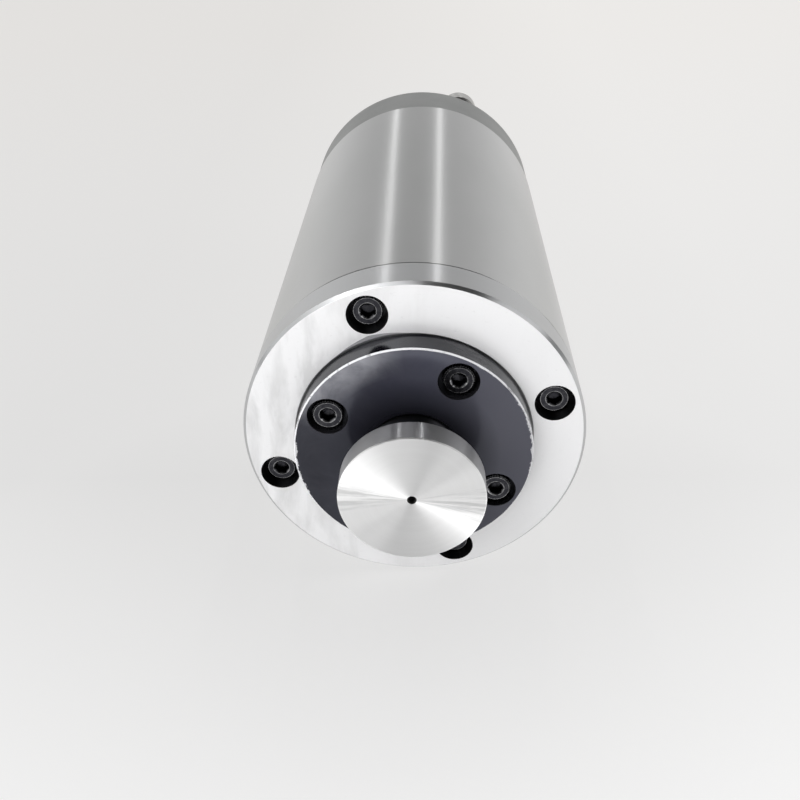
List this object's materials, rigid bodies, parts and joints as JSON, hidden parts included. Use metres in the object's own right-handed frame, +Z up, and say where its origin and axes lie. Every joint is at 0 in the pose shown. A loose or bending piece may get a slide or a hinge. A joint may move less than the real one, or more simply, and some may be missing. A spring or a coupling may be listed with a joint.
{
  "type": "motor spindle",
  "caption": "Round water-cooled motor spindle: bright front cover, raised black gland, nose disc on a turning shaft, ground barrel, rear cap with coolant fittings and power connector.",
  "frame": {"origin": "on the spindle axis, in the plane of the front cover's flat face", "axes": "+Y along the spindle axis towards the rear cap, so the nose points to -Y; +Z up as the spindle lies; +X completes the frame"},
  "size_m": [0.08, 0.2077, 0.08],
  "materials": {
    "bright_aluminium": "fine-turned, bright",
    "ground_steel": "ground, satin",
    "dull_aluminium": "bead-blasted grey",
    "jacket_aluminium": "machined",
    "black_oxide": "black oxide, polished",
    "screw_black": "black oxide",
    "turned_steel": "turned, bright",
    "bearing_steel": "ground",
    "lamination_steel": "stacked sheet",
    "copper_winding": "enamelled wire",
    "rotor_aluminium": "cast",
    "seal_rubber": "matte",
    "nickel_plate": "nickel plated",
    "insulator_plastic": "matte",
    "contact_brass": "plated"
  },
  "bodies": {
    "housing": {"front_cover": "bright_aluminium", "cover_screws": "screw_black", "front_gland": "black_oxide", "gland_screws": "screw_black", "outer_barrel": "ground_steel", "cooling_jacket": "jacket_aluminium", "jacket_seals": "seal_rubber", "stator_core": "lamination_steel", "stator_windings": "copper_winding", "front_outer_rings": "bearing_steel", "outer_spacer": "bearing_steel", "rear_bearing_housing": "jacket_aluminium", "rear_outer_ring": "bearing_steel", "preload_spring": "bearing_steel", "rear_cap": "dull_aluminium", "rear_cap_screws": "screw_black", "fitting_washers": "seal_rubber", "water_fittings": "nickel_plate", "water_fitting_nuts": "nickel_plate", "connector_shell": "nickel_plate", "connector_insert": "insulator_plastic", "connector_pins": "contact_brass", "connector_nut": "nickel_plate"},
    "rotor": {"shaft": "turned_steel", "labyrinth_ring": "bearing_steel", "front_inner_rings": "bearing_steel", "inner_spacer": "bearing_steel", "front_locknut": "bearing_steel", "rotor_core": "lamination_steel", "rotor_cage": "rotor_aluminium", "rear_inner_ring": "bearing_steel", "rear_locknut": "bearing_steel"},
    "front_cages": {"front_ball_cages": "bearing_steel"},
    "rear_cage": {"rear_ball_cage": "bearing_steel"}
  },
  "joints": [
    {"name": "shaft_spin", "type": "hinge", "parent": "housing", "child": "rotor", "pos_m": [0, 0, 0], "axis": [0, -1, 0], "continuous": true},
    {"name": "front_cage_spin", "type": "hinge", "parent": "housing", "child": "front_cages", "pos_m": [0, 0.0155, 0], "axis": [0, -1, 0], "continuous": true},
    {"name": "rear_cage_spin", "type": "hinge", "parent": "housing", "child": "rear_cage", "pos_m": [0, 0.1355, 0], "axis": [0, -1, 0], "continuous": true}
  ],
  "couplings": [
    {"joint": "front_cage_spin", "follows": "shaft_spin", "ratio": 0.3967},
    {"joint": "rear_cage_spin", "follows": "shaft_spin", "ratio": 0.4022}
  ]
}
